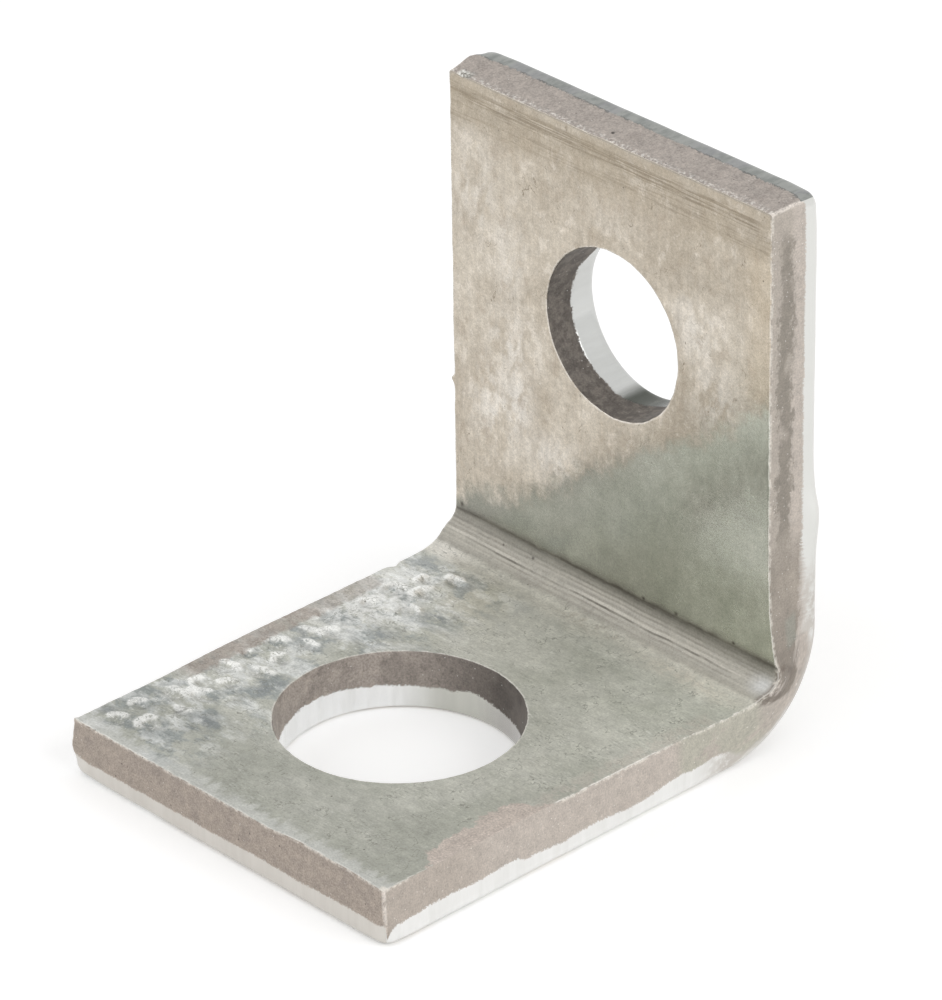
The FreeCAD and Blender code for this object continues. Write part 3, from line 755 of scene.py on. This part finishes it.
# Light and dark stripes along the tool's lines: partly the lines themselves, partly painted highlight
# and shade of their grooves.
lined = color
for middle, width, strength, tone in [
    (49.2, 0.3, 0.1, (0.3, 0.27, 0.22)),
    (49.78, 0.14, 0.35, (0.2, 0.18, 0.15)),
    (50.02, 0.16, 0.45, (0.55, 0.52, 0.46)),
    (50.25, 0.1, 0.85, (0.1, 0.09, 0.07)),
    (50.5, 0.16, 0.65, (0.58, 0.55, 0.49)),
    (50.78, 0.1, 0.4, (0.2, 0.18, 0.15)),
    (51.05, 0.1, 0.35, (0.5, 0.47, 0.42)),
    (51.28, 0.1, 0.35, (0.2, 0.18, 0.15)),
    (51.52, 0.12, 0.45, (0.52, 0.49, 0.43)),
    (51.75, 0.08, 0.25, (0.16, 0.14, 0.115)),
    (52.05, 0.1, 0.3, (0.42, 0.4, 0.35)),
]:
    low = middle + LINE_WAVER / 2 - width / 2
    line = n.span(waver, low, low + width, LINE_SOFT, strength)
    if middle < 50.3:
        line = n.both(line, ends)
    lined = n.blend(line, lined, tone)
color = n.blend(broken_line, color, lined)
# The crease: a thin line of painted shade with a soft painted shadow above it.
waver = n.maths("MULTIPLY_ADD", crumpled, 0.8, s)
color = n.blend(n.both(n.span(waver, 53.02, 53.2, 0.2), broken_line, 0.65), color, (0.1, 0.09, 0.075))
color = n.blend(n.span(waver, 52.9, 53.6, 1.1, 0.24), color, (0.13, 0.12, 0.1))
dots = [
    ((-21.2, 53.4), 0.45),
    ((-10.5, 51.45), 0.3),
    ((-14.7, 51.3), 0.22),
    ((4.9, 53.1), 0.35),
    ((9.4, 53.2), 0.4),
    ((17.1, 53.2), 0.3),
]
dots = n.spots(place, [(middle, (reach, reach), 0.85) for middle, reach in dots])
color = n.blend(dots, color, (0.07, 0.06, 0.05))
cracks = n.noise(place, 0.8, (1, 1, 1), 57, 4, 0.7)
# A painted highlight on a small facet at the right end of the bend.
facet_highlight = n.both(n.spot(place, (20.9, 50.5), (2.2, 1.7), 0.85), n.ramp(cracks, 0.26, 0.46))
color = n.blend(facet_highlight, color, (0.56, 0.56, 0.55))
crumbled = n.blend(n.ramp(cracks, 0.42, 0.54), (0.62, 0.575, 0.52), (0.2, 0.17, 0.145))
crumbling = n.both(n.ramp(x, 21.4, 22.2), n.span(s, 48.9, 52.3, 0.5))
color = n.blend(n.both(crumbling, 0.9), color, crumbled)
washed = n.both(n.spot(place, (14, 47.3), (10, 2.4)), n.ramp(cracks, 0.4, 0.58))
color = n.blend(n.both(washed, 0.5), color, (0.76, 0.71, 0.62))
stained = n.both(n.spot(place, (0.5, 47.9), (8, 1.3), 0.6), n.ramp(cracks, 0.5, 0.6))
color = n.blend(stained, color, (0.34, 0.3, 0.24))

# Torn metal from the sheared edge is smeared over the rims of the base leg.
ragged = n.less(n.noise(place, 1.2, (1, 1, 1), 61, 5, 0.7), 0.5)
smear_line = [
    (5, 0), (6.6, 0.8), (7.4, 2.4), (10, 3.0), (14, 3.3), (19.6, 3.3), (20.6, 1.3), (22.5, 0.5),
    (24, 0),
]
smear = n.follow(s, smear_line, 5)
reach = n.plus(n.less(22.4, x), n.maths("MULTIPLY", ragged, 3.6))
right_smear = n.both(n.ramp(n.less(smear, reach), -0.15, 0.3), n.span(s, 6, 22, 0.5))
mottled = n.ramp(mottled, 0.42, 0.54)
film = n.both(n.ramp(x, 19.3, 20.6), n.span(s, 22, 43, 2), mottled, 0.35)
color = n.blend(film, color, (0.55, 0.485, 0.435))
reach = n.plus(n.plus(22.4, x), n.maths("MULTIPLY", ragged, 2.4))
mottled = n.maths("MULTIPLY_ADD", mottled, 0.3, 0.7)
along_left = n.maths("MAXIMUM", n.span(s, 15, 30, 3), n.both(n.span(s, 31, 38.5, 1.5), 0.65))
left_smear = n.both(n.ramp(reach, 2.9, 2.2), along_left, mottled, 0.9)
smeared = n.both(n.maths("MAXIMUM", right_smear, left_smear), inside)
grain = use(n, "metal_grain", Place=place, Size=0.22, Contrast=1.0)
torn = n.blend(n.ramp(x, -5, 5), (0.42, 0.375, 0.335), (0.55, 0.485, 0.435))
color = n.blend(smeared, color, n.scaled(torn, n.level(grain["Height"], 0.8)))

# The burr along the rims catches the light, but is worn off or dirty in places.
burr = n.both(n.ramp(inset, 0.26, 0.1), n.ramp(cracks, 0.38, 0.54), n.less(1, smeared))
keen = n.plus(0.5, n.both(n.ramp(x, 21, 22), n.span(s, 21, 47, 1.5), 0.5))
keen = n.both(keen, n.less(1, n.both(n.ramp(s, 100.8, 101.3), 0.85)))
worn = n.both(n.ramp(x, 20, 21.5), n.span(s, 37, 47, 1.5), n.ramp(cracks, 0.62, 0.5))
keen = n.both(keen, n.less(1, worn))
color = n.blend(n.both(burr, keen), color, (0.82, 0.79, 0.74))
# A painted highlight on the front right corner.
corner = n.both(n.ramp(x, 21.2, 21.7), n.ramp(s, 0.8, 0.4))
color = n.blend(n.both(corner, 0.8), color, (0.84, 0.79, 0.72))
top_edge = n.both(n.ramp(inset, 0.32, 0.12), n.ramp(s, 100.8, 101.2))
color = n.blend(n.both(top_edge, 0.7), color, (0.34, 0.31, 0.27))

# Dark pits and bright glints are scattered over both faces.
color = sprinkled(n, color, place, 1.9, 0.1, 0.2, 0.7, (0.1, 0.085, 0.07))
color = sprinkled(n, color, place, 1.4, 0.06, 0.3, 0.5, (0.9, 0.89, 0.86))

# The outer face is plainer. Its plating is drawn thin and pale where the bend stretched it.
drawn = n.noise(place, 0.45, (0.05, 1, 1), 65, 3, 0.6)
outside = n.blend(n.ramp(haze, 0.36, 0.62), plain, n.scaled(green, 1.05))
stretched = n.blend(n.ramp(drawn, 0.36, 0.62), (0.47, 0.45, 0.41), (0.64, 0.62, 0.58))
outside = n.blend(n.both(n.span(s, 45.5, 54.5, 4), 0.8), outside, stretched)
color = n.blend(inside, outside, color)
n.put(shader["Base Color"], n.scaled(color, grain["Tone"]))

dull = n.blend(upright, (0.6, 0.6, 0.6), (0.235, 0.235, 0.235))
dull = n.blend(fold, dull, (0.45, 0.45, 0.45))
dull = n.blend(n.both(struck_side, 0.7), dull, (0.34, 0.34, 0.34))
dull = n.blend(smeared, dull, (0.75, 0.75, 0.75))
dull = n.blend(inside, (0.45, 0.45, 0.45), dull)
n.put(shader["Roughness"], n.maths("MULTIPLY", dull, n.level(stain, 1.2)))
bright = n.maths("MAXIMUM", upright, n.both(struck_side, 0.7))
bright = n.both(bright, n.less(0.62, n.both(smeared, 0.3)))
n.put(shader["Metallic"], n.plus(0.35, bright))
ridges = n.maths("MULTIPLY", n.both(n.span(s, 49.4, 53, 0.5), lines), 1.6)
relief = n.plus(grain["Height"], ridges)
relief = n.plus(relief, n.maths("MULTIPLY", n.both(pressed, lumps), 4))
relief = n.maths("MULTIPLY", relief, n.less(1, n.both(upright, 0.7)))
bump_node = n.add("Bump", {"Height": relief, "Strength": 0.6, "Distance": 0.00003})
n.put(shader["Normal"], bump_node.outputs[0])


def finish_cut(n, shader, color, torn, height, start, gloss, depth):
    """Lays the looks of a wall that is smooth and bright first, then torn and dull."""
    n.put(shader["Base Color"], color)
    n.put(shader["Roughness"], n.plus(gloss, n.both(torn, height, 0.8)))
    n.put(shader["Metallic"], n.less(0.95, n.both(torn, 0.6)))
    relief = n.add("Bump", {"Height": start["Relief"], "Strength": 0.8, "Distance": depth})
    n.put(shader["Normal"], relief.outputs[0])


# The shear cut a smooth bright band into the outer side of every edge. The rest tore off and is dull.
n, shader = material("sheared_edge")
place, x, s, d = n.read("unrolled")
_, _, beyond, share = n.read("edges")
to_side = n.less(SIDE, n.maths("ABSOLUTE", x))
to_end = n.maths("MINIMUM", s, n.less(PLATE_END, s))
side = n.ramp(n.less(to_side, to_end), 0.02, -0.02)
upper = n.ramp(s, 50, 56)
top_end = n.both(n.less(1, side), upper)
front_end = n.both(n.less(1, side), n.less(1, upper))
right = n.ramp(x, 15, 20)
grain = use(n, "metal_grain", Place=place, Size=0.2, Contrast=n.maths("MULTIPLY_ADD", side, -0.7, 2.2))

comb = n.less(n.noise(place, 0.3, (1, 1, 0.12), 80, 3), 0.5)
start = use(n, "torn_start", Beyond=beyond, Grain=grain["Height"])
fringe = n.plus(start["Ragged"], n.both(side, n.span(s, 54, 64, 3), comb, 1.2))
blurred = n.both(side, n.span(s, 49, 62, 3))
starts = n.maths("MULTIPLY_ADD", blurred, -0.5, -0.06)
torn = n.ramp(fringe, starts, n.maths("MULTIPLY_ADD", blurred, 0.3, 0.1))
taupe = n.blend(side, (0.42, 0.36, 0.31), (0.535, 0.48, 0.43))
taupe = n.blend(top_end, taupe, (0.42, 0.375, 0.34))
# Painted shade of the torn wall's hollow curve on the upper sides: darker over the inner part, darkest
# in a band down the middle.
side_upper = n.both(side, n.ramp(s, 53, 63))
cloudy = n.noise(place, 2.4, (1, 0.5, 1), 81, 4, 0.68)
rough = n.noise(place, 0.7, (1, 0.6, 1), 82, 4, 0.7)
inner_part = n.both(n.ramp(n.plus(share, n.maths("MULTIPLY", rough, 0.3)), 0.4, 0.6), side_upper)
taupe = n.blend(n.both(inner_part, 0.75), taupe, (0.45, 0.405, 0.355))
wander_share = n.plus(share, n.both(n.less(cloudy, 0.5), 0.6))
wander_share = n.plus(wander_share, n.both(n.less(rough, 0.5), 0.7))
hollow_shade = n.both(n.span(wander_share, 0.42, 0.68, 0.16), side, n.ramp(s, 63, 68), n.ramp(s, 99.5, 97))
hollow_shade = n.both(hollow_shade, n.ramp(n.noise(place, 3, (1, 0.6, 1), 84, 3), 0.3, 0.5))
taupe = n.blend(n.both(hollow_shade, 0.78), taupe, (0.25, 0.225, 0.19))
clouded = n.less(0.32, n.both(side, 0.2))
taupe = n.blend(n.both(n.ramp(cloudy, 0.5, 0.64), clouded), taupe, (0.3, 0.26, 0.235))
taupe = n.blend(n.both(side, n.ramp(s, 16, 8), 0.7), taupe, (0.45, 0.395, 0.345))
washed = n.both(side, n.span(s, 39.5, 48.8, 1.8), n.ramp(cloudy, 0.7, 0.5))
taupe = n.blend(n.both(washed, 0.9), taupe, (0.485, 0.47, 0.4))
lobe_line = [
    (48, 6.35), (49.1, 6.1), (49.8, 4.6), (50.4, 2.7), (50.8, 1.9), (51.2, 2.0), (51.8, 3.0),
    (52.4, 3.5), (53, 3.1), (54, 2.8), (56, 2.5), (60, 2.4), (66, 2.2),
]
lobe = n.follow(s, lobe_line, 6.4)
uneven = n.maths("MULTIPLY_ADD", rough, 1.7, -0.85)
lobe = n.less(n.plus(d, uneven), lobe)
squeezed = n.both(side, right, n.ramp(s, 68, 62), n.ramp(s, 48.4, 49.4))
brown = n.blend(n.ramp(s, 52, 60), (0.25, 0.218, 0.183), (0.35, 0.31, 0.265))
brown = n.scaled(brown, n.level(cloudy, 0.9))
taupe = n.blend(n.both(squeezed, n.ramp(lobe, -0.3, 0.3), 0.85), taupe, brown)
taupe = n.blend(n.both(squeezed, n.ramp(lobe, 0.2, -0.4), 0.7), taupe, (0.5, 0.45, 0.405))
cracks = n.noise(place, 0.8, (1, 1, 1), 57, 4, 0.7)
rift = n.follow(s, [(48, 6.4), (49, 6.2), (49.6, 5.3), (50.3, 4.2), (50.8, 3.4), (51.5, 2.9)], 6.5)
torn_depth = n.plus(d, n.both(uneven, 0.4))
rift = n.maths("ABSOLUTE", n.less(torn_depth, rift))
other_rift = n.follow(s, [(50.9, 2.4), (51.3, 3.0), (51.8, 4.2), (52.3, 5.4), (53, 6.4)], 6.5)
other_rift = n.maths("ABSOLUTE", n.less(torn_depth, other_rift))
rift = n.maths("MAXIMUM", n.ramp(rift, 1.0, 0.3), n.ramp(other_rift, 0.8, 0.2))
rift = n.both(rift, n.ramp(d, 2.1, 3.4))
cracked = n.both(side, right, n.span(s, 48.9, 52.5, 0.3), rift, n.ramp(cracks, 0.38, 0.52))
taupe = n.blend(n.both(cracked, 0.7), taupe, (0.18, 0.15, 0.125))
crumbs = n.both(side, right, n.span(s, 50.1, 51.5, 0.3), n.ramp(d, 4.2, 5.2), n.ramp(cracks, 0.46, 0.56))
taupe = n.blend(n.both(crumbs, 0.6), taupe, (0.7, 0.63, 0.58))
greenish = n.both(side, right, n.span(s, 53.8, 56.2, 1), n.span(d, 3.3, 4.2, 0.6))
taupe = n.blend(n.both(greenish, 0.5), taupe, (0.33, 0.345, 0.3))
smeared_rim = n.both(side, n.span(s, 5, 22, 1.5))
lip = n.both(n.ramp(share, 0.91, 0.98), n.ramp(n.noise(place, 0.8, (1, 1, 1), 83, 4), 0.42, 0.56))
lip = n.both(lip, 0.6, n.less(1, smeared_rim), n.less(1, top_end))
taupe = n.blend(lip, taupe, (0.82, 0.78, 0.71))
flaky = n.ramp(n.noise(place, 0.4, (1, 1, 1), 86, 4, 0.65), 0.47, 0.6)
taupe = n.blend(n.both(top_end, n.ramp(share, 0.74, 0.95), flaky, 0.75), taupe, (0.76, 0.73, 0.68))
# A painted highlight along the corners of the plate.
arris_highlight = n.both(n.ramp(n.maths("MAXIMUM", to_side, to_end), 0.42, 0.15), n.ramp(rough, 0.3, 0.5))
taupe = n.blend(n.both(arris_highlight, 0.7), taupe, (0.8, 0.74, 0.68))
# In the chip at the top left corner, pale bits of bare metal lie among dark bits of painted shadow.
from_chip = n.maths("ABSOLUTE", n.plus(x, 20.1))
chipped = n.both(top_end, n.ramp(from_chip, 1.1, 0.6), n.ramp(d, 5.1, 5.7))
bits = n.ramp(n.noise(place, 0.6, (1, 1, 1), 88, 4), 0.42, 0.56)
flaked = n.blend(bits, (0.3, 0.285, 0.25), (0.8, 0.79, 0.75))
taupe = n.blend(chipped, taupe, flaked)
hole = n.both(top_end, n.span(x, -0.85, -0.6, 0.12), n.span(d, 4.8, 5.0, 0.12))
taupe = n.blend(hole, taupe, (0.08, 0.07, 0.06))
taupe = n.scaled(taupe, grain["Tone"])

scored = n.noise(place, 1.4, (1, 1, 0.12), 85, 4, 0.68)
polished = n.blend(n.ramp(scored, 0.3, 0.7), (0.785, 0.783, 0.765), (0.845, 0.843, 0.83))
polished = n.blend(n.both(side, upper, 0.85), polished, (0.68, 0.68, 0.65))
tinted = n.both(side, n.span(s, 47, 58, 6), n.ramp(rough, 0.3, 0.6))
polished = n.blend(n.both(tinted, 0.9), polished, (0.53, 0.495, 0.455))
# The smooth band of the front end is painted darker than those of the sides, as painted shade.
shaded_front_band = n.blend(n.ramp(scored, 0.25, 0.75), (0.57, 0.54, 0.495), (0.62, 0.59, 0.545))
polished = n.blend(n.both(front_end, 0.85), polished, shaded_front_band)
# The smooth band of the top end is dark blue grey, a painted dark reflection.
slate_reflection = n.ramp(n.noise(place, 1, (1, 1, 0.4), 87, 4, 0.68), 0.36, 0.64)
slate_reflection = n.blend(slate_reflection, (0.2, 0.213, 0.2), (0.31, 0.318, 0.3))
violet = n.ramp(n.noise(place, 2.5, (1, 1, 0.3), 90, 4), 0.5, 0.6)
slate_reflection = n.blend(n.both(violet, 0.4), slate_reflection, (0.27, 0.265, 0.285))
polished = n.blend(n.both(top_end, 0.95), polished, slate_reflection)
color = n.blend(torn, polished, taupe)
seam = n.ramp(n.noise(place, 1.2, (1, 1, 1), 89, 4), 0.44, 0.56)
seam = n.both(top_end, n.span(fringe, -0.1, 0, 0.06), seam)
color = n.blend(n.both(seam, 0.6), color, (0.1, 0.095, 0.09))

# The torn metal has pits and glints too.
color = sprinkled(n, color, place, 0.8, 0.11, 0.3, 0.7, (0.13, 0.11, 0.1), torn)
color = sprinkled(n, color, place, 0.6, 0.06, 0.35, 0.55, (0.9, 0.87, 0.84), torn)
finish_cut(n, shader, color, torn, grain["Height"], start, 0.28, 0.00004)

# The punch did the same inside the holes.
n, shader = material("punched_wall")
place, x, s, d = n.read("unrolled")
_, _, beyond, _ = n.read("edges")
upper = n.ramp(s, 50, 53)
grain = use(n, "metal_grain", Place=place, Size=0.22, Contrast=2.2)
start = use(n, "torn_start", Beyond=beyond, Grain=grain["Height"])
torn = n.ramp(start["Ragged"], -0.06, 0.1)
# The torn wall is painted darker towards the right as painted shade, and darker still in the upright
# hole, painted shade and dirt.
taupe = n.blend(n.ramp(x, -11, 2.4), (0.42, 0.37, 0.33), (0.115, 0.1, 0.088))
darker = n.ramp(n.noise(place, 2.5, (1, 1, 1), 91, 5), 0.42, 0.6)
taupe = n.blend(n.both(darker, 0.4), taupe, (0.2, 0.175, 0.155))
mottle = n.ramp(n.noise(place, 0.9, (1, 1, 1), 93, 5, 0.68), 0.42, 0.6)
taupe = n.blend(upper, taupe, n.blend(mottle, (0.14, 0.122, 0.107), (0.22, 0.195, 0.17)))
taupe = n.scaled(taupe, grain["Tone"])
scored = n.noise(place, 0.7, (1, 1, 0.15), 95, 4)
# The smooth band is painted darker towards the right, as painted shade.
polished = n.blend(n.ramp(x, -10, -5), (0.84, 0.845, 0.84), (0.55, 0.55, 0.505))
polished = n.blend(n.ramp(x, -3, 3), polished, (0.47, 0.455, 0.435))
polished = n.blend(upper, polished, (0.585, 0.59, 0.575))
soiled = n.ramp(n.noise(place, 2, (1, 1, 0.3), 97, 4), 0.5, 0.64)
polished = n.scaled(polished, n.level(scored, 0.16))
polished = n.blend(n.both(soiled, 0.14), polished, (0.5, 0.5, 0.47))
# A dark painted reflection low on the right of the upright hole's smooth band.
dark_reflection_area = n.ramp(n.maths("MULTIPLY_ADD", scored, 1.2, x), -1.8, 0.2)
dark_reflection_area = n.both(upper, n.ramp(s, 78, 75), dark_reflection_area, 0.95)
mirrored = n.blend(n.ramp(scored, 0.55, 0.72), (0.06, 0.065, 0.053), (0.17, 0.17, 0.15))
polished = n.blend(dark_reflection_area, polished, mirrored)
color = n.blend(torn, polished, taupe)

# Glints lie on the torn metal, and a few specks of rust on the smooth band.
color = sprinkled(n, color, place, 0.6, 0.055, 0.35, 0.75, (0.8, 0.78, 0.75), torn)
color = sprinkled(n, color, place, 1.6, 0.11, 0.22, 0.75, (0.42, 0.26, 0.08), n.less(1, torn))
finish_cut(n, shader, color, torn, grain["Height"], start, 0.22, 0.00003)

for name in ("plate_face", "sheared_edge", "punched_wall"):
    mesh.materials.append(bpy.data.materials[name])
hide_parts("angle_bracket")
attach(bracket_plate, "root")

# The studio has a white floor, a white surround and two large soft lamps. Where it is looked at,
# straight, in gloss or through glass, the floor glows a little and the surround is full white.
FLOOR_REACH, FLOOR_GLOW, SURROUND_LIGHT = 3, 0.26, 0.7407


def seen_share(n):
    """1 for rays of the camera, of gloss and through glass, and 0 for those that light a surface."""
    rays = n.add("LightPath", {}).outputs
    mirrored = n.maths("MAXIMUM", rays["Is Glossy Ray"], rays["Is Transmission Ray"])
    return n.maths("MAXIMUM", rays["Is Camera Ray"], mirrored)


floor_mesh = bpy.data.meshes.new("floor")
ring = [(-FLOOR_REACH, -FLOOR_REACH, 0), (FLOOR_REACH, -FLOOR_REACH, 0)]
ring += [(FLOOR_REACH, FLOOR_REACH, 0), (-FLOOR_REACH, FLOOR_REACH, 0)]
floor_mesh.from_pydata(ring, [], [(0, 1, 2, 3)])
floor = bpy.data.objects.new("floor", floor_mesh)
bpy.context.scene.collection.objects.link(floor)
n, shader = material("floor_paint")
n.put(shader["Base Color"], (0.9, 0.9, 0.9))
n.put(shader["Roughness"], 0.9)
n.put(shader["Emission Color"], (1, 1, 1))
n.put(shader["Emission Strength"], n.maths("MULTIPLY", seen_share(n), FLOOR_GLOW))
floor_mesh.materials.append(bpy.data.materials["floor_paint"])

world = bpy.data.worlds.new("studio")
bpy.context.scene.world = world
world.use_nodes = True
n = Nodes(world.node_tree)
sky = world.node_tree.nodes["Background"].inputs
n.put(sky["Color"], (1, 1, 1))
added = n.maths("MULTIPLY", seen_share(n), 1 - SURROUND_LIGHT)
n.put(sky["Strength"], n.plus(added, SURROUND_LIGHT))

LIT_POINT = (0, 0, 0.03)
for name, place, size, power in [
    ("key_lamp", (1.1, 0.15, 0.75), 0.9, 5),
    ("fill_lamp", (-0.8, -0.9, 0.9), 0.9, 2.5),
]:
    light = bpy.data.lights.new(name, "AREA")
    light.size, light.energy = size, power
    lamp = bpy.data.objects.new(name, light)
    bpy.context.scene.collection.objects.link(lamp)
    lamp.location = place
    lamp.rotation_euler = (Vector(LIT_POINT) - Vector(place)).to_track_quat("-Z", "Y").to_euler()

# The camera stands where the photograph's edges and holes say that it stood.
LENS, SENSOR_WIDTH = 250.42, 36
camera = bpy.data.objects.new("camera", bpy.data.cameras.new("camera"))
bpy.context.scene.collection.objects.link(camera)
camera.data.lens, camera.data.sensor_width = LENS, SENSOR_WIDTH
right, up, back = (0.68821, 0.72541, -0.01218), (-0.34769, 0.3445, 0.87203), (0.63677, -0.59591, 0.4893)
place = (0.42447, -0.39341, 0.35264)
camera.matrix_world = Matrix([*zip(right, up, back, place), (0, 0, 0, 1)])
bpy.context.scene.camera = camera
bpy.context.scene.view_settings.view_transform = "Standard"
